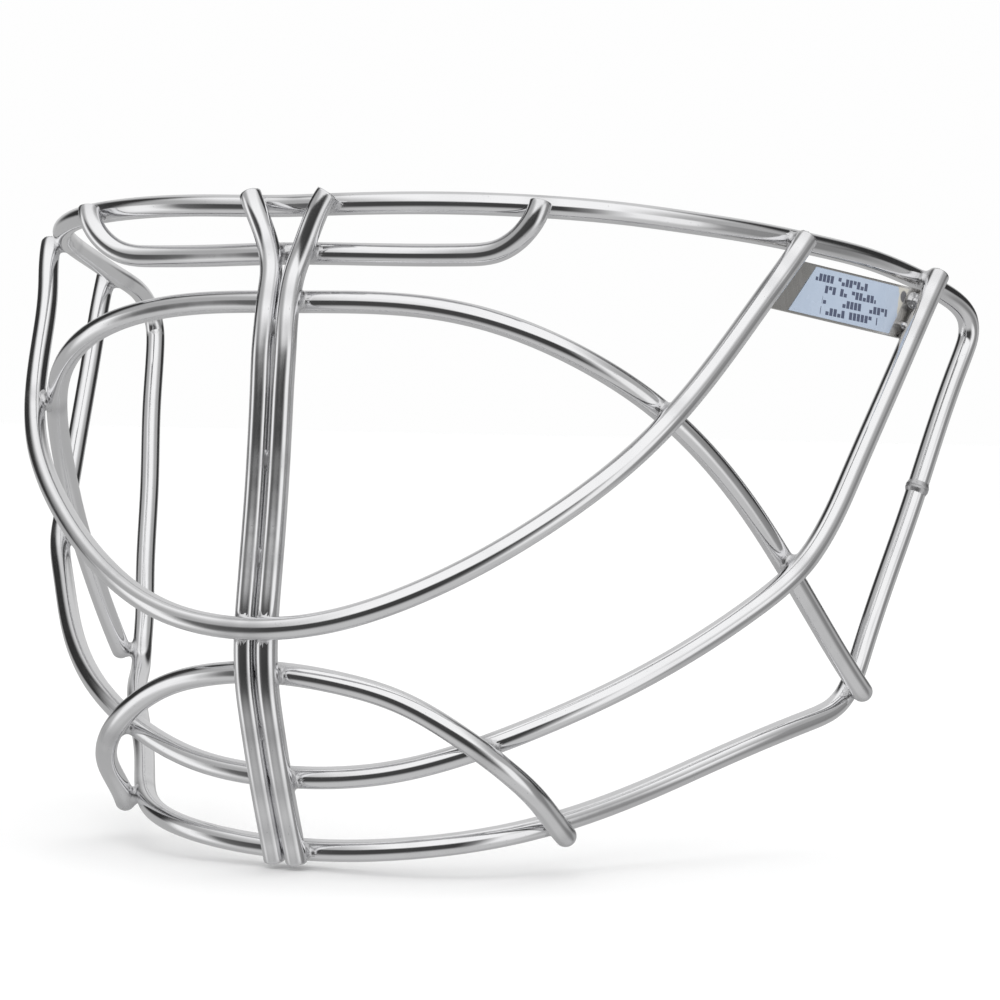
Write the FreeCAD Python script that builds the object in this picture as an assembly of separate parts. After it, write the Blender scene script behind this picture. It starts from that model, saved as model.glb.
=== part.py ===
import FreeCAD, Part
import math
import os

# Welded wire cage of an ice hockey goaltender's mask, in millimetres.
# +X is the wearer's left, +Y points back towards the face, +Z is up.
# The origin is the centre of the top bar on the plane of symmetry.
#
# Every wire follows one base form, a bowed shield in front of the face.
# A place on the form is (across, down): across from the plane of symmetry and down from
# the top bar.  A third number, lift, says how far outward a wire lies from the form,
# counted in stack pitches.  Two wires that cross are one pitch apart.

Vector = FreeCAD.Vector

# ---- driving dimensions: wire and stacking ----
wire_diameter = 4.8
weld_gap = 0.2
pair_gap = 0.3

# ---- driving dimensions: base form ----
form_half_width = 100.0
form_height = 140.0
nose_lead = 14.25
chin_lead = 1.0
sweep_top = 73.0
sweep_chin = 137.0
sweep_power_top = 4.4
sweep_power_chin = 2.5

# ---- driving dimensions: where each bar crosses the plane of symmetry ----
visor_drop = 10.6
eye_arch_drop = 20.7
eye_loop_drop = 87.7
chin_arch_drop = 98.3
outer_loop_drop = 121.2

# ---- driving dimensions: seats of the bar ends on the perimeter wire ----
visor_seat_across = 53.2
eye_loop_seat_across = 91.2
outer_loop_seat_across = 105.8
chin_arch_seat_across = 51.6
arch_seat_down = 105.4
centre_splay = 9.2
splay_down = 15.5

# ---- driving dimensions: how far each bar runs past its seat ----
visor_overrun = -0.8
loop_overrun = 1.4
eye_loop_overrun = 0.3
arch_overrun = -1.2
chin_overrun = 0.3
centre_top_overrun = 0.3
centre_chin_overrun = 0.3

# ---- driving dimensions: welds ----
# radii are shares of the wire radius, so that they follow the wire
nugget_share = 1.21
pair_spot_share = 0.62
plate_spot_share = 0.5
pair_spots_along_eyes = (0.1, 0.5, 0.8)
pair_spots_along_mouth = 0.5
clean_volume = 0.001
bead_height = 0.45
bead_down = 59.5

# ---- driving dimensions: label plate and label ----
plate_front_height = 10.2
plate_rear_height = 11.1
plate_thickness = 0.8
plate_clearance = 0.1
plate_front_below_bar = 1.7
plate_rear_below_bar = 0.15
bow_checks = 4
plate_spot_aside = 0.95
plate_spot_depth = 0.7
plate_spot_places = (0.25, 0.75)
label_thickness = 0.12
label_front_margin = 9.4
label_rear_margin = 2.6
label_edge_margin = 0.6

# ---- driving dimensions: how finely a curve is turned into arcs ----
form_step = 3.0
arc_step = 8.0
key_spread = 5.5

wire_radius = wire_diameter / 2
stack_pitch = wire_diameter + weld_gap
pair_half = (wire_diameter + pair_gap) / 2
nugget_radius = wire_radius * nugget_share
pair_spot_radius = wire_radius * pair_spot_share
plate_spot_radius = wire_radius * plate_spot_share
ball_poles = (Vector(-0.6, 0.2, 0.4), Vector(0, 0, 1), Vector(0.3, 0.5, 0.8), Vector(0.9, 0.1, 0.2),
              Vector(0, 1, 0))


# ---------------------------------------------------------------- base form

def form_back(across, down):
    """How far back the base form lies at a place on it."""
    share = down / form_height
    front = -chin_lead * share - 4 * nose_lead * share * (1 - share)
    sweep = sweep_top + (sweep_chin - sweep_top) * share
    power = sweep_power_top + (sweep_power_chin - sweep_power_top) * share
    return front + sweep * (abs(across) / form_half_width) ** power


def form_normal(across, down):
    """Outward unit normal of the base form."""
    step = 0.01
    slope_x = (form_back(across + step, down) - form_back(across - step, down)) / (2 * step)
    slope_z = -(form_back(across, down + step) - form_back(across, down - step)) / (2 * step)
    normal = Vector(slope_x, -1, slope_z)
    return normal.normalize()


def lifted(across, lift, down):
    """The point at a place on the form, raised outward by a lift in stack pitches."""
    base = Vector(across, form_back(across, down), -down)
    return base + form_normal(across, down) * (lift * stack_pitch)


# ---------------------------------------------------------------- routes on the form
# A key is a Vector of (across, lift, down).

def scaled(keys, first_down, last_down):
    """Keys whose down value is a share of the way between two levels."""
    span = last_down - first_down
    return [Vector(across * form_half_width, lift, first_down + share * span)
            for across, lift, share in keys]


def chord_parameters(points):
    """Running length of the chords, which spaces a curve's parameters evenly."""
    lengths = [0.0]
    for here, there in zip(points, points[1:]):
        lengths.append(lengths[-1] + here.distanceToPoint(there))
    return lengths


def smooth(points, closed=False):
    """A curvature-continuous curve through points."""
    curve = Part.BSplineCurve()
    if closed:
        loop = points + points[:1]
        curve.interpolate(Points=points, Parameters=chord_parameters(loop), PeriodicFlag=True)
    else:
        curve.interpolate(Points=points, Parameters=chord_parameters(points))
    return curve


def spaced(curve, step, closed=False):
    """Parameters of a curve, near enough evenly spaced along it."""
    first = curve.FirstParameter
    last = curve.LastParameter
    count = max(4, round((last - first) / step))
    stops = count if closed else count + 1
    return [first + (last - first) * i / count for i in range(stops)]


def mirrored(keys):
    """A centre-to-end list of keys made into an end-to-end list."""
    other = [Vector(-key.x, key.y, key.z) for key in reversed(keys)]
    if abs(keys[0].x) < 1e-9:
        return other[:-1] + keys
    return other + keys


def flat_crossing(upper, lower):
    """The key of the lower route at the place where two routes cross on the form."""
    upper_curve = smooth(mirrored(upper) if upper[0].x == 0 else upper)
    lower_curve = smooth(mirrored(lower))
    tops = [upper_curve.value(u) for u in spaced(upper_curve, 1.0)]
    bottoms = [lower_curve.value(u) for u in spaced(lower_curve, 1.0)]
    for a, b in zip(tops, tops[1:]):
        for c, d in zip(bottoms, bottoms[1:]):
            if min(a.x, c.x) < 0:
                continue
            turn = (b.x - a.x) * (d.z - c.z) - (b.z - a.z) * (d.x - c.x)
            if abs(turn) < 1e-9:
                continue
            s = ((c.x - a.x) * (d.z - c.z) - (c.z - a.z) * (d.x - c.x)) / turn
            t = ((c.x - a.x) * (b.z - a.z) - (c.z - a.z) * (b.x - a.x)) / turn
            if 0 <= s < 1 and 0 <= t < 1:
                return c + (d - c) * t
    return None


def note_weld(group, upper_name, lower_name, lower_key):
    """Remember a crossing, half a pitch above the lower wire, for its weld metal."""
    middle = Vector(lower_key.x, lower_key.y + 0.5, lower_key.z)
    weld_places.setdefault(group, []).append((upper_name, lower_name, middle))


def rests_on(group, upper_name, upper, lower_name, lower):
    """The upper route with a key one pitch above the lower route where they cross."""
    cross = flat_crossing(upper, lower)
    if cross is None:
        return upper
    note_weld(group, upper_name, lower_name, cross)
    seat = Vector(cross.x, cross.y + 1, cross.z)
    ends = (upper[0], upper[-1])
    kept = [key for key in upper
            if key in ends or math.hypot(key.x - seat.x, key.z - seat.z) > key_spread]
    detours = []
    for here, there in zip(kept, kept[1:]):
        direct = math.hypot(there.x - here.x, there.z - here.z)
        first = math.hypot(seat.x - here.x, seat.z - here.z)
        second = math.hypot(there.x - seat.x, there.z - seat.z)
        detours.append(first + second - direct)
    position = detours.index(min(detours)) + 1
    return kept[:position] + [seat] + kept[position:]


def ends_over(group, upper_name, keys, perimeter_key, overrun):
    """A route that ends at its seat on the perimeter wire, a little past it or short of it."""
    note_weld(group, upper_name, "perimeter_frame", perimeter_key)
    seat = Vector(perimeter_key.x, perimeter_key.y + 1, perimeter_key.z)
    before = keys[-1]
    reach = math.hypot(seat.x - before.x, seat.z - before.z)
    past_x = seat.x + (seat.x - before.x) * overrun / reach
    past_z = seat.z + (seat.z - before.z) * overrun / reach
    end = Vector(past_x, seat.y, past_z)
    return keys + [seat, end] if overrun > 0 else keys + [end]


def perimeter_at(stretch, across=None, down=None):
    """The key of a stretch of the perimeter wire at a distance across or at a level."""
    curve = smooth(stretch)
    keys = [curve.value(u) for u in spaced(curve, 0.2)]
    if across is not None:
        return min(keys, key=lambda place: abs(place.x - across))
    return min(keys, key=lambda place: abs(place.z - down))


def lift_at(route, down):
    """The lift of a centre bar at a level."""
    curve = smooth(route)
    keys = [curve.value(u) for u in spaced(curve, 0.2)]
    return min(keys, key=lambda place: abs(place.z - down)).y


# ---------------------------------------------------------------- wires as solids

def biarc_edges(start, start_way, end, end_way):
    """Two arcs that leave start along start_way and reach end along end_way."""
    chord = end - start
    a = 2 * (1 - start_way.dot(end_way))
    b = 2 * chord.dot(start_way + end_way)
    c = -chord.dot(chord)
    reach = -c / b if abs(a) < 1e-9 else (-b + math.sqrt(b * b - 4 * a * c)) / (2 * a)
    joint = (start + start_way * reach + end - end_way * reach) * 0.5
    return [arc_edge(start, joint, start_way, True), arc_edge(joint, end, end_way, False)]


def arc_edge(start, end, way, way_at_start):
    """An arc between two points with a known direction at one of them."""
    chord = end - start
    side = way.cross(chord)
    if side.Length < 1e-6 * chord.Length:
        return Part.LineSegment(start, end).toShape()
    inward = side.normalize().cross(way)
    if not way_at_start:
        inward = inward * -1
    anchor = start if way_at_start else end
    radius = chord.Length ** 2 / (2 * abs(chord.dot(inward)))
    centre = anchor + inward * (radius if way_at_start else -radius)
    if not way_at_start:
        centre = anchor + inward * math.copysign(radius, (start - end).dot(inward))
    middle_way = ((start + end) * 0.5 - centre).normalize()
    return Part.Arc(start, centre + middle_way * radius, end).toShape()


def centreline(keys, closed=False, least_across=-1e3):
    """The route of a wire in space: points and the directions there."""
    flat = smooth(keys, closed)
    points = [lifted(max(key.x, least_across), key.y, key.z) - origin_shift
              for key in (flat.value(u) for u in spaced(flat, form_step, closed))]
    curve = smooth(points, closed)
    stops = spaced(curve, arc_step, closed)
    places = [curve.value(u) for u in stops]
    ways = [Vector(*curve.tangent(u)[0]) for u in stops]
    if closed:
        places.append(places[0])
        ways.append(ways[0])
    return places, ways


def wire_solid(keys, closed=False, domed=False, least_across=-1e3):
    """A round wire along a route, checked against its section times its length."""
    places, ways = centreline(keys, closed, least_across)
    edges = []
    for i in range(len(places) - 1):
        edges += biarc_edges(places[i], ways[i], places[i + 1], ways[i + 1])
    half = len(places) // 2
    stretches = [(0, edges[:2 * half]), (half, edges[2 * half:])] if closed else [(0, edges)]
    rods = []
    for first, run in stretches:
        circle = Part.makeCircle(wire_radius, places[first], ways[first])
        rods.append(Part.Wire(run).makePipe(Part.Face(Part.Wire([circle]))))
    solid = rods[0].fuse(rods[1:]) if closed else rods[0]
    expected = math.pi * wire_radius ** 2 * sum(edge.Length for edge in edges)
    if abs(solid.Volume - expected) > 0.002 * expected:
        print("wire volume differs from section times length", solid.Volume, expected)
    if domed:
        solid = solid.fuse([Part.makeSphere(wire_radius, tip) for tip in (places[0], places[-1])])
    return solid.Solids[0]


def stands_clear(metal, other):
    """Whether two solids share no volume, whichever of them is asked."""
    return max(metal.common(other).Volume, other.common(metal).Volume) < clean_volume


def trimmed_ball(middle, radius, cutters):
    """A ball with everything it meets cut away, its seam turned until the cut is clean."""
    for pole in ball_poles:
        rest = Part.makeSphere(radius, middle, pole)
        for cutter in cutters:
            rest = rest.cut(cutter)
        left = max(rest.Solids, key=lambda part: part.Volume)
        if left.isValid() and all(stands_clear(left, cutter) for cutter in cutters):
            break
    return left


def weld_metal(places):
    """Weld metal at crossings: a ball cut away by both of its wires, and its mirror image."""
    reach = form_half_width + form_height
    other_half = Part.makeBox(reach, 2 * reach, 2 * reach,
                              Vector(weld_gap / 2 - reach, -reach, -reach))
    metal = []
    for upper_name, lower_name, key in places:
        middle = lifted(key.x, key.y, key.z) - origin_shift
        cutters = [wires[upper_name], wires[lower_name]]
        ball_box = Part.makeSphere(nugget_radius, middle).BoundBox
        cutters += [solid for solid in (other_half, plate, label) if solid.BoundBox.intersect(ball_box)]
        left = trimmed_ball(middle, nugget_radius, cutters)
        metal += [left, left.mirror(Vector(0, 0, 0), Vector(1, 0, 0))]
    return metal


# ---------------------------------------------------------------- perimeter wire

top_stretch = scaled([
    (0.000, 0.78, 0.0093),
    (0.259, 0.78, 0.0071),
    (0.507, 0.20, 0.0029),
    (0.686, -0.11, 0.0086),
    (0.799, -0.04, 0.0200),
    (0.883, 0.03, 0.0307),
    (0.948, 0.05, 0.0429),
    (1.002, 0.10, 0.0571),
    (1.047, 0.02, 0.0779),
    (1.076, -0.10, 0.0960),
], 0, form_height)
side_stretch = scaled([
    (1.098, 0.00, 0.1200),
    (1.108, 0.02, 0.1560),
    (1.101, -0.10, 0.2100),
    (1.076, -0.24, 0.3171),
    (1.037, -0.34, 0.4721),
    (0.986, -0.21, 0.6229),
    (0.955, -0.05, 0.7050),
    (0.930, 0.12, 0.7560),
    (0.908, 0.12, 0.7830),
], 0, form_height)
chin_stretch = scaled([
    (0.874, 0.00, 0.8020),
    (0.776, -0.48, 0.8529),
    (0.675, -0.67, 0.9000),
    (0.557, -0.30, 0.9314),
    (0.420, 0.29, 0.9486),
    (0.254, 0.33, 0.9671),
    (0.000, 0.05, 0.9836),
], 0, form_height)
half_perimeter = top_stretch + side_stretch + chin_stretch
left_half = [Vector(-key.x, key.y, key.z) for key in reversed(half_perimeter[1:-1])]
perimeter_keys = half_perimeter + left_half
origin_shift = lifted(top_stretch[0].x, top_stretch[0].y, top_stretch[0].z)
weld_places = {}

# ---------------------------------------------------------------- crossing bars, centre to end

visor_seat = perimeter_at(top_stretch, across=visor_seat_across)
visor_keys = scaled([
    (0.000, 0.30, 0.00),
    (0.208, -0.10, 0.04),
    (0.371, -0.20, 0.05),
    (0.419, -0.04, 0.04),
    (0.463, 0.22, 0.10),
    (0.499, 0.62, 0.31),
    (0.522, 1.00, 0.62),
], visor_drop, visor_seat.z)
visor_keys = ends_over("welds_top_bar", "visor_bar", visor_keys, visor_seat, visor_overrun)

arch_seat = perimeter_at(side_stretch, down=arch_seat_down)
arch_keys = scaled([
    (0.000, 0.16, 0.000),
    (0.291, -0.31, 0.001),
    (0.569, -0.20, 0.089),
    (0.729, 0.05, 0.231),
    (0.819, 0.27, 0.410),
    (0.867, 0.56, 0.597),
    (0.900, 0.81, 0.790),
], eye_arch_drop, arch_seat.z)
arch_keys = ends_over("welds_side_bars", "upper_eye_arch", arch_keys, arch_seat, arch_overrun)

outer_seat = perimeter_at(top_stretch, across=outer_loop_seat_across)
outer_keys = scaled([
    (0.000, 0.23, 0.000),
    (0.286, 0.00, 0.026),
    (0.525, 0.42, 0.122),
    (0.702, 0.86, 0.235),
    (0.818, 1.30, 0.347),
    (0.904, 1.52, 0.483),
    (0.953, 1.22, 0.612),
    (1.013, 0.99, 0.814),
], outer_loop_drop, outer_seat.z)
outer_keys = ends_over("welds_top_bar", "outer_loop", outer_keys, outer_seat, loop_overrun)
outer_keys = rests_on("welds_outer_loop", "outer_loop", outer_keys, "upper_eye_arch", arch_keys)

chin_seat = perimeter_at(chin_stretch, across=chin_arch_seat_across)
chin_keys = scaled([
    (0.000, 0.60, 0.000),
    (0.158, 0.42, 0.049),
    (0.303, 0.42, 0.182),
    (0.478, 1.32, 0.675),
], chin_arch_drop, chin_seat.z)
chin_keys = ends_over("welds_chin_bar", "chin_arch", chin_keys, chin_seat, chin_overrun)
chin_keys = rests_on("welds_outer_loop", "chin_arch", chin_keys, "outer_loop", outer_keys)

splay_seat = perimeter_at(top_stretch, across=centre_splay)
foot_seat = perimeter_at(chin_stretch, across=pair_half)
centre_keys = ends_over("welds_top_bar", "centre_bar_left", [
    Vector(pair_half, 1.06, splay_down * 1.75),
    Vector(pair_half, 1.20, splay_down * 1.10),
    Vector(pair_half + 1.2, 1.36, splay_down * 0.80),
    Vector(centre_splay - 3.0, 1.52, splay_down * 0.42),
], splay_seat, centre_top_overrun)
centre_keys.reverse()
centre_keys += [
    Vector(pair_half, 0.72, form_height * 0.289),
    Vector(pair_half, 0.58, form_height * 0.443),
    Vector(pair_half, 1.08, form_height * 0.575),
    Vector(pair_half, 1.50, form_height * 0.654),
    Vector(pair_half, 1.42, form_height * 0.780),
]
centre_keys = ends_over("welds_chin_bar", "centre_bar_left", centre_keys, foot_seat,
                        centre_chin_overrun)
for group, name, keys in (("welds_visor_bar", "visor_bar", visor_keys),
                          ("welds_upper_arch", "upper_eye_arch", arch_keys),
                          ("welds_chin_arch", "chin_arch", chin_keys),
                          ("welds_outer_loop", "outer_loop", outer_keys)):
    centre_keys = rests_on(group, "centre_bar_left", centre_keys, name, keys)

loop_seat = perimeter_at(top_stretch, across=eye_loop_seat_across)
loop_keys = scaled([
    (0.000, lift_at(centre_keys, eye_loop_drop) + 1, 0.000),
    (0.179, 2.09, 0.024),
    (0.361, 1.33, 0.110),
    (0.544, 0.97, 0.257),
    (0.685, 1.14, 0.436),
    (0.818, 0.86, 0.705),
    (0.870, 0.81, 0.852),
], eye_loop_drop, loop_seat.z)
loop_keys = ends_over("welds_top_bar", "lower_eye_loop", loop_keys, loop_seat, eye_loop_overrun)
loop_keys = rests_on("welds_eye_loop", "lower_eye_loop", loop_keys, "upper_eye_arch", arch_keys)
loop_middle = Vector(pair_half, loop_keys[0].y - 1, eye_loop_drop)
note_weld("welds_eye_loop", "lower_eye_loop", "centre_bar_left", loop_middle)


# ---------------------------------------------------------------- welds that are not at crossings

def pair_spots():
    """Weld metal in the groove between the two centre bars."""
    curve = smooth(centre_keys)
    keys = [curve.value(u) for u in spaced(curve, 0.2)]
    levels = [eye_arch_drop + (eye_loop_drop - eye_arch_drop) * share
              for share in pair_spots_along_eyes]
    levels += [low + (high - low) * pair_spots_along_mouth
               for low, high in ((chin_arch_drop, outer_loop_drop), (outer_loop_drop, form_height))]
    metal = []
    for down in levels:
        key = min(keys, key=lambda place: abs(place.z - down))
        metal.append(trimmed_ball(lifted(0, key.y, key.z) - origin_shift, pair_spot_radius,
                                  [wires["centre_bar_left"], wires["centre_bar_right"]]))
    return metal


def butt_weld_bead():
    """The raised ring where the ends of the perimeter wire are joined."""
    key = perimeter_at(side_stretch, down=bead_down)
    return [trimmed_ball(lifted(key.x, key.y, key.z) - origin_shift, wire_radius + bead_height,
                         [wires["perimeter_frame"]])]


# ---------------------------------------------------------------- label plate and label

def wire_point(route, down):
    """The point of a bar's centreline near its upper end, at a level on the form."""
    curve = smooth(route[len(route) // 2:])
    keys = [curve.value(u) for u in spaced(curve, 0.1)]
    key = min(keys, key=lambda place: abs(place.z - down))
    return lifted(key.x, key.y, key.z) - origin_shift


def plate_edges():
    """Route, upper level and height of the plate at its front edge and at its rear edge."""
    return ((loop_keys, loop_seat.z + wire_radius + plate_front_below_bar, plate_front_height),
            (outer_keys, outer_seat.z + wire_radius + plate_rear_below_bar, plate_rear_height))


def plate_corners():
    """Corners on the two loops' centrelines: front top, front bottom, rear top, rear bottom."""
    return [wire_point(route, level) for route, top, height in plate_edges()
            for level in (top, top + height)]


def sheet(corners, offset, thickness):
    """A thin sheet ruled between its front and rear edges, offset along the plate's normal."""
    front_top, front_low, rear_top, rear_low = (corner + plate_normal * offset for corner in corners)
    front = Part.LineSegment(front_top, front_low).toShape()
    rear = Part.LineSegment(rear_top, rear_low).toShape()
    return Part.makeRuledSurface(front, rear).extrude(plate_normal * thickness)


def inset(corners, front_margin, rear_margin, edge_margin):
    """Corners moved in by a margin from each edge."""
    front_top, front_low, rear_top, rear_low = corners
    length = (rear_top - front_top).Length
    along_front = front_margin / length
    along_rear = 1 - rear_margin / length
    tops = [front_top + (rear_top - front_top) * share for share in (along_front, along_rear)]
    lows = [front_low + (rear_low - front_low) * share for share in (along_front, along_rear)]
    moved = []
    for top, low in zip(tops, lows):
        step = (low - top).normalize() * edge_margin
        moved += [top + step, low - step]
    return moved


def plate_bow():
    """How far back the two loops bow from the straight edges between the plate's corners."""
    bow = 0
    for edge, (route, top, height) in enumerate(plate_edges()):
        upper, lower = corners[2 * edge], corners[2 * edge + 1]
        for count in range(1, bow_checks):
            share = count / bow_checks
            straight = upper + (lower - upper) * share
            bow = max(bow, (straight - wire_point(route, top + height * share)).dot(plate_normal))
    return bow


def plate_spots():
    """Weld spots in the notch between the plate and each loop that carries it."""
    front_top, front_low, rear_top, rear_low = corners
    metal = []
    for top, low, inward, loop in ((front_top, front_low, rear_top - front_top, "lower_eye_loop"),
                                   (rear_top, rear_low, front_top - rear_top, "outer_loop")):
        sideways = inward * (1 / inward.Length)
        for share in plate_spot_places:
            place = top + (low - top) * share
            notch = (place + sideways * (wire_radius * plate_spot_aside)
                     + plate_normal * (plate_face + plate_spot_radius * plate_spot_depth))
            metal.append(trimmed_ball(notch, plate_spot_radius, [wires[loop], plate]))
    return metal


# ---------------------------------------------------------------- build

wires = {
    "perimeter_frame": wire_solid(perimeter_keys, closed=True),
    "visor_bar": wire_solid(mirrored(visor_keys)),
    "upper_eye_arch": wire_solid(mirrored(arch_keys), domed=True),
    "outer_loop": wire_solid(mirrored(outer_keys)),
    "chin_arch": wire_solid(mirrored(chin_keys), domed=True),
    "centre_bar_left": wire_solid(centre_keys, least_across=pair_half),
    "lower_eye_loop": wire_solid(mirrored(loop_keys)),
}
wires["centre_bar_right"] = wires["centre_bar_left"].mirror(Vector(0, 0, 0), Vector(1, 0, 0))

corners = plate_corners()
plate_length_way = corners[2] + corners[3] - corners[0] - corners[1]
plate_height_way = corners[1] + corners[3] - corners[0] - corners[2]
plate_normal = plate_length_way.cross(plate_height_way).normalize()
if plate_normal.y > 0:
    plate_normal = plate_normal * -1
plate_face = -(wire_radius + plate_clearance + plate_bow())
plate = sheet(corners, plate_face - plate_thickness, plate_thickness)
label_corners = inset(corners, wire_radius + label_front_margin, wire_radius + label_rear_margin,
                      label_edge_margin)
label = sheet(label_corners, plate_face, label_thickness)

nodes = {name: [solid] for name, solid in wires.items()}
for group, places in weld_places.items():
    nodes[group] = weld_metal(places)
nodes["welds_centre_pair"] = pair_spots()
nodes["butt_weld_bead"] = butt_weld_bead()
nodes["label_plate"] = [plate]
nodes["label"] = [label]
nodes["welds_label_plate"] = plate_spots()

os.makedirs("parts", exist_ok=True)
for name, solids in nodes.items():
    shape = solids[0] if len(solids) == 1 else Part.makeCompound(solids)
    shape.exportStep(os.path.join("parts", name + ".step"))
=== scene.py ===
"""Wire face cage of an ice hockey goaltender's mask.

Bent, bright-plated wires cross in front of the face and are welded where they touch.  A thin
steel plate with a printed film sits between two of the wires.  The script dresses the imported
model, and sets up a studio round it.
"""

import logging
import math
from dataclasses import dataclass, field
from enum import Enum

import bmesh
import bpy
import numpy as np
from mathutils import Matrix, Vector


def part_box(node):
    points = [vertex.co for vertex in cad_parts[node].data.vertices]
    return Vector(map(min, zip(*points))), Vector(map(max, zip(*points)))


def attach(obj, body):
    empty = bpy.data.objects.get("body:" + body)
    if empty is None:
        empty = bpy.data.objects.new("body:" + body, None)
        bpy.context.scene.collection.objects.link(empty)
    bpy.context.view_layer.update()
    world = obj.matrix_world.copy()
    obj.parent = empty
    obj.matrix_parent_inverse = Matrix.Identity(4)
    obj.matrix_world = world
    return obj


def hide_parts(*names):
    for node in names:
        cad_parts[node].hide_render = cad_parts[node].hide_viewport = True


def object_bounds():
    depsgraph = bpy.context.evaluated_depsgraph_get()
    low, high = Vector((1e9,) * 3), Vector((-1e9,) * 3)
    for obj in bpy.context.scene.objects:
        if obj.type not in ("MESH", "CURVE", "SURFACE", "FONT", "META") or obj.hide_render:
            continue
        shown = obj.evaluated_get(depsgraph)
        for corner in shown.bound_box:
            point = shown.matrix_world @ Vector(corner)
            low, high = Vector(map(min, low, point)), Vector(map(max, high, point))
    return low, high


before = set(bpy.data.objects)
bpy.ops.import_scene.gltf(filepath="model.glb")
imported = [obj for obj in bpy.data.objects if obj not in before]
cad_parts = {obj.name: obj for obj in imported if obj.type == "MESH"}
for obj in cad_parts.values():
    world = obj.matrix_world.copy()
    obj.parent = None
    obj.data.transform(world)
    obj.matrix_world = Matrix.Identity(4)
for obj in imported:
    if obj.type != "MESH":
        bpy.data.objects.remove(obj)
CAD_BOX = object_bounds()

LOG = logging.getLogger("wire_cage")
MM = 0.001
BODY = "root"
WIRE_RADIUS = 2.4 * MM
SAME_PLACE = 0.001 * MM

Colour = tuple[float, float, float]
Socket = bpy.types.NodeSocket


def rgba(colour: Colour) -> tuple[float, float, float, float]:
    """Returns a colour with full alpha."""
    return (*colour, 1.0)


def grey(level: float) -> tuple[float, float, float, float]:
    """Returns a grey with full alpha."""
    return (level, level, level, 1.0)


# ---------------------------------------------------------------- node sheets


@dataclass
class NodeSheet:
    """A node tree that is being drawn up."""

    tree: bpy.types.NodeTree

    def add(self, kind: str, inputs: dict | None = None, **settings: object) -> bpy.types.Node:
        """Returns a new node of a kind, with its own settings made and its inputs fed."""
        node = self.tree.nodes.new(kind)
        for name, value in settings.items():
            setattr(node, name, value)
        self.feed(node, inputs or {})
        return node

    def feed(self, node: bpy.types.Node, inputs: dict) -> None:
        """Gives a node's inputs, by name or number, a constant each or the socket that feeds it."""
        for key, value in inputs.items():
            if isinstance(value, Socket):
                self.tree.links.new(value, node.inputs[key])
            else:
                node.inputs[key].default_value = value

    def math(self, operation: str, *values: object, clamp: bool = False) -> Socket:
        """Returns a Math node's result, held between 0 and 1 if clamp is set."""
        node = self.add("ShaderNodeMath", dict(enumerate(values)), operation=operation)
        node.use_clamp = clamp
        return node.outputs[0]

    def plus(self, one: object, two: object, clamp: bool = False) -> Socket:
        """Returns a sum, held between 0 and 1 if clamp is set."""
        return self.math("ADD", one, two, clamp=clamp)

    def minus(self, one: object, two: object) -> Socket:
        """Returns a difference."""
        return self.math("SUBTRACT", one, two)

    def times(self, one: object, two: object, clamp: bool = False) -> Socket:
        """Returns a product, held between 0 and 1 if clamp is set."""
        return self.math("MULTIPLY", one, two, clamp=clamp)

    def noise(self, vector: Socket, scale: object, detail: float, **more: float) -> Socket:
        """Returns a noise texture's value; more holds other inputs, such as Roughness."""
        return self.add("ShaderNodeTexNoise", {"Vector": vector, "Scale": scale, "Detail": detail,
                                               **more}).outputs[0]

    def fade(self, value: Socket, low: float, high: float) -> Socket:
        """Returns a smooth step of a value from 0 at low to 1 at high."""
        node = self.add("ShaderNodeMapRange", {0: value, 1: low, 2: high},
                        interpolation_type="SMOOTHSTEP")
        return node.outputs[0]

    def mixed(self, share: object, first: object, second: object) -> Socket:
        """Returns the mix of two colours."""
        return self.add("ShaderNodeMix", {0: share, 6: first, 7: second}, data_type="RGBA").outputs[2]

    def ramp(self, value: Socket, stops: tuple[tuple[float, float], ...]) -> Socket:
        """Returns a grey colour ramp's colour; its stops are pairs of place and brightness."""
        node = self.add("ShaderNodeValToRGB", {0: value})
        band = node.color_ramp
        while len(band.elements) < len(stops):
            band.elements.new(1.0)
        for element, (place, brightness) in zip(band.elements, stops):
            element.position = place
            element.color = grey(brightness)
        return node.outputs[0]


# ---------------------------------------------------------------- paths of the wires


def smooth_places(knots: np.ndarray, marks: np.ndarray, stations: np.ndarray) -> np.ndarray:
    """Places on a smooth curve through knots.

    Args:
        knots: The points the curve passes through, one to a row.
        marks: Distance along the curve at each knot.
        stations: Distances at which places are wanted.

    Returns:
        One place to a row.
    """
    gaps = np.diff(marks)[:, None]
    slopes = np.diff(knots, axis=0) / gaps
    heading = np.empty_like(knots)
    heading[1:-1] = (slopes[:-1] * gaps[1:] + slopes[1:] * gaps[:-1]) / (gaps[:-1] + gaps[1:])
    heading[0] = 2 * slopes[0] - heading[1]
    heading[-1] = 2 * slopes[-1] - heading[-2]
    index = np.clip(np.searchsorted(marks, stations, side="right") - 1, 0, len(gaps) - 1)
    step = gaps[index]
    t = (stations - marks[index])[:, None] / step
    return ((2 * t ** 3 - 3 * t ** 2 + 1) * knots[index]
            + (t ** 3 - 2 * t ** 2 + t) * step * heading[index]
            + (3 * t ** 2 - 2 * t ** 3) * knots[index + 1]
            + (t ** 3 - t ** 2) * step * heading[index + 1])


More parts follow.
